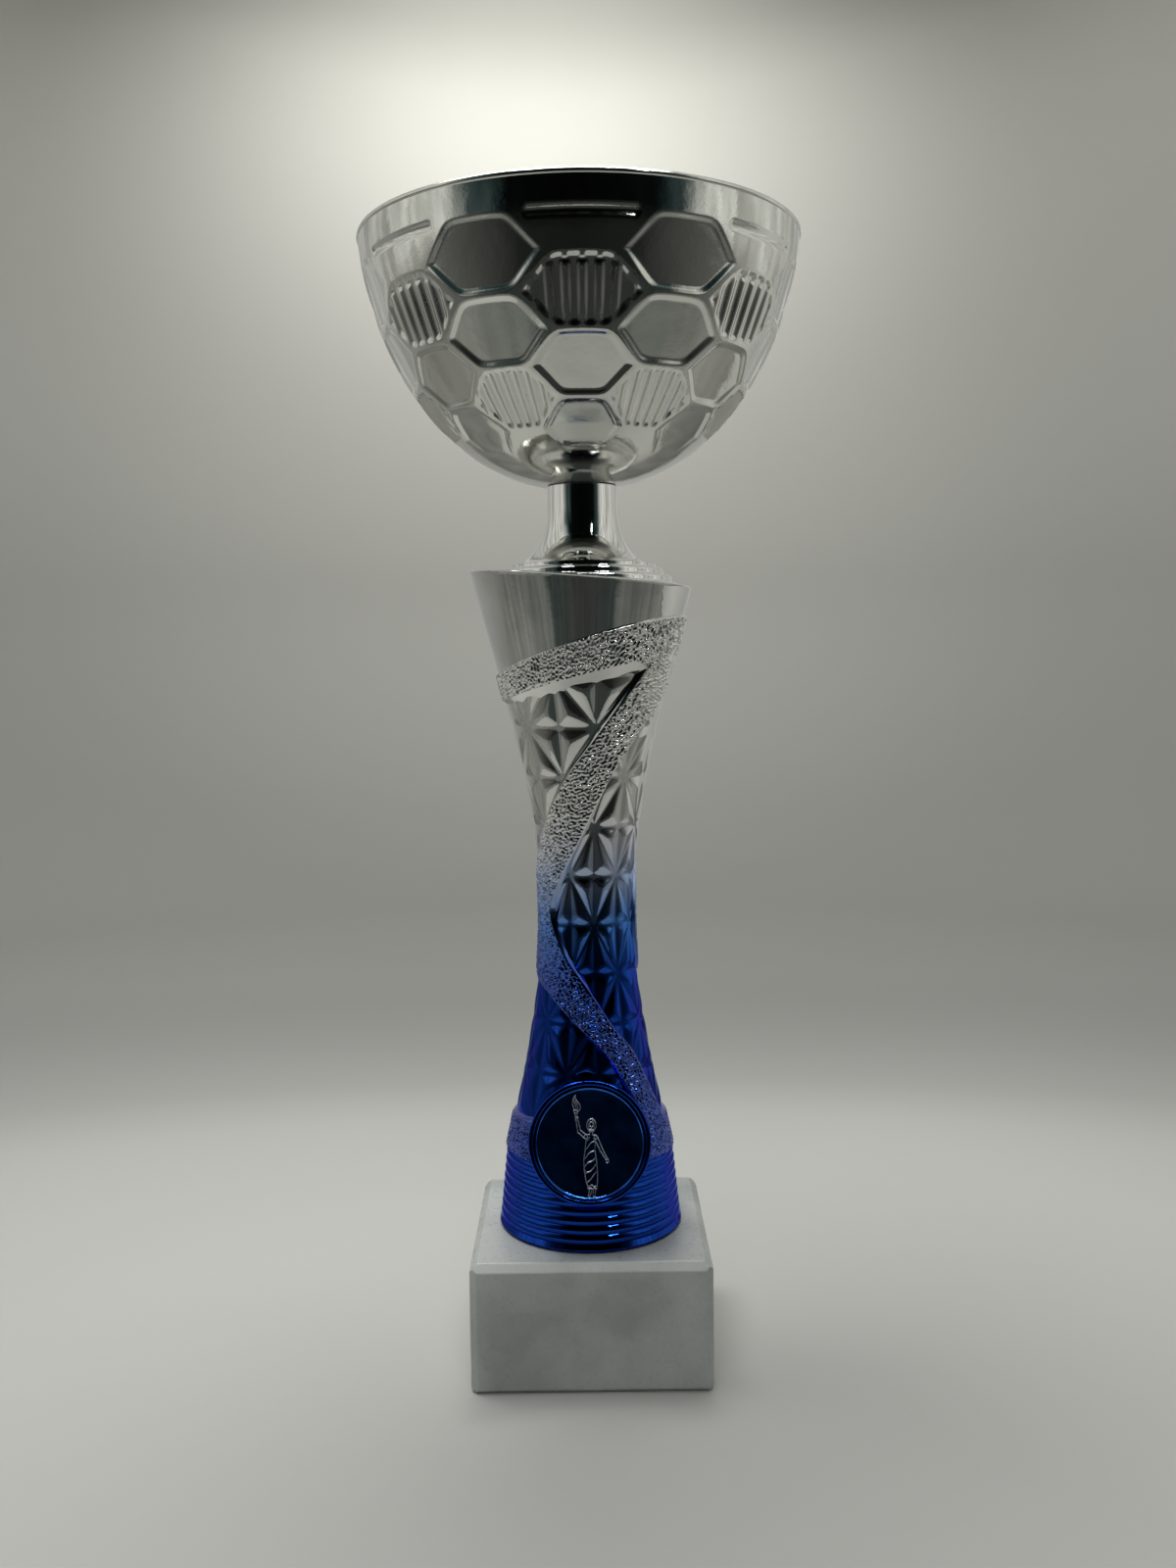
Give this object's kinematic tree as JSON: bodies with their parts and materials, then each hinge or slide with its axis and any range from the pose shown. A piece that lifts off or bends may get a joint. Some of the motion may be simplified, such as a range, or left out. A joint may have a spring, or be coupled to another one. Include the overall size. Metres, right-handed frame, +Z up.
{
  "type": "cup trophy",
  "caption": "Cup trophy: football-patterned metal bowl on a stepped riser and a waisted silver-to-blue column with a round figure emblem, clamped to a square marble base.",
  "frame": {"origin": "centre of the marble base's underside", "axes": "+Z up along the tie rod; the emblem faces -Y; the column's slanting top edge falls towards +X"},
  "size_m": [0.1006, 0.1006, 0.26],
  "materials": {
    "marble": "honed pale marble with soft grey clouds",
    "zinc_steel": "zinc-plated steel",
    "white_plastic": "natural moulded plastic",
    "column_lacquer": "metallised plastic, silver above fading to transparent blue lacquer below",
    "foam_tape": "white foam tape",
    "emblem_blue": "dark blue mirror with a fine raised figure",
    "riser_chrome": "metallised silver plastic",
    "bowl_chrome": "bright nickel-plated stamped steel"
  },
  "bodies": {
    "base": {"marble_base": "marble", "base_washer": "zinc_steel", "lock_washer": "zinc_steel", "base_nut": "zinc_steel", "tie_rod": "zinc_steel", "bowl_washer": "zinc_steel", "bowl_nut": "zinc_steel"},
    "column": {"foot_plug": "white_plastic", "column": "column_lacquer", "emblem_tape": "foam_tape", "emblem_disc": "emblem_blue", "riser": "riser_chrome"},
    "bowl": {"bowl": "bowl_chrome"}
  },
  "joints": [
    {"name": "column_turn", "type": "hinge", "parent": "base", "child": "column", "pos_m": [0, 0, 0.03], "axis": [0, 0, 1], "continuous": true},
    {"name": "bowl_turn", "type": "hinge", "parent": "column", "child": "bowl", "pos_m": [0, 0, 0.205], "axis": [0, 0, 1], "continuous": true}
  ]
}
